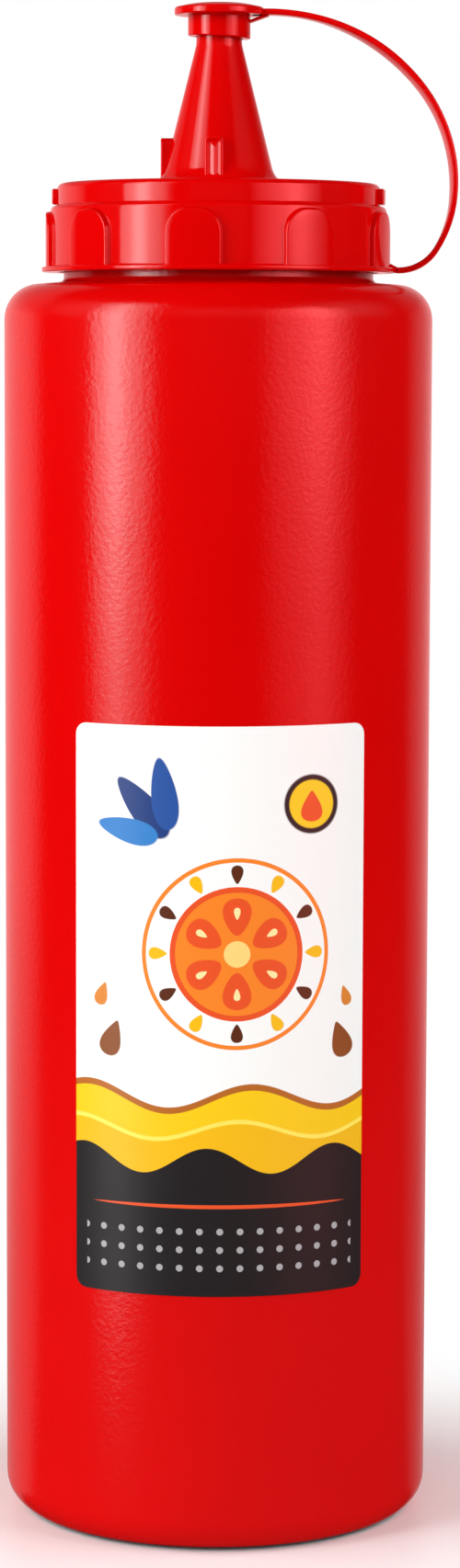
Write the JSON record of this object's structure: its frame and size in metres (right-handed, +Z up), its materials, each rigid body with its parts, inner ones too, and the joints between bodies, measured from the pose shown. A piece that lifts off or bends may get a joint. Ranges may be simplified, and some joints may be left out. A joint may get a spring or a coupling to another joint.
{
  "type": "squeeze bottle",
  "caption": "Cylindrical plastic squeeze bottle with a ribbed screw cap, a tall cone nozzle and a push-on tip cap held by a curved strap.",
  "frame": {"origin": "on the bottle's axis, in the plane that it stands on", "axes": "+Z up along the bottle's axis, +X towards the strap, -Y towards the front grip pad; the label's middle is turned 6 degrees from -Y towards +X"},
  "size_m": [0.0844, 0.0802, 0.2838],
  "materials": {
    "bottle_red": "satin, fine orange peel",
    "cap_red": "gloss",
    "label_film": "printed film, semi-gloss",
    "liner_white": "foamed, dull"
  },
  "bodies": {
    "bottle": {"bottle": "bottle_red", "front_label": "label_film"},
    "seal": {"sealing_ring": "liner_white"},
    "cap": {"screw_cap": "cap_red", "tether_strap": "cap_red"},
    "tip": {"tip_cap": "cap_red"}
  },
  "joints": [
    {"name": "cap_rise", "type": "slide", "parent": "bottle", "child": "seal", "axis": [0, 0, 1], "range_m": [0, 0.02]},
    {"name": "cap_turn", "type": "hinge", "parent": "seal", "child": "cap", "pos_m": [0, 0, 0], "axis": [0, 0, 1], "range_deg": [0, 1800]},
    {"name": "tip_cap_swing", "type": "hinge", "parent": "cap", "child": "tip", "pos_m": [0.0439, 0, 0.2797], "axis": [0, 1, 0], "range_deg": [0, 50], "deforming": ["tether_strap"]}
  ],
  "couplings": [
    {"joint": "cap_rise", "follows": "cap_turn", "m_per_rad": 0.0006366}
  ]
}
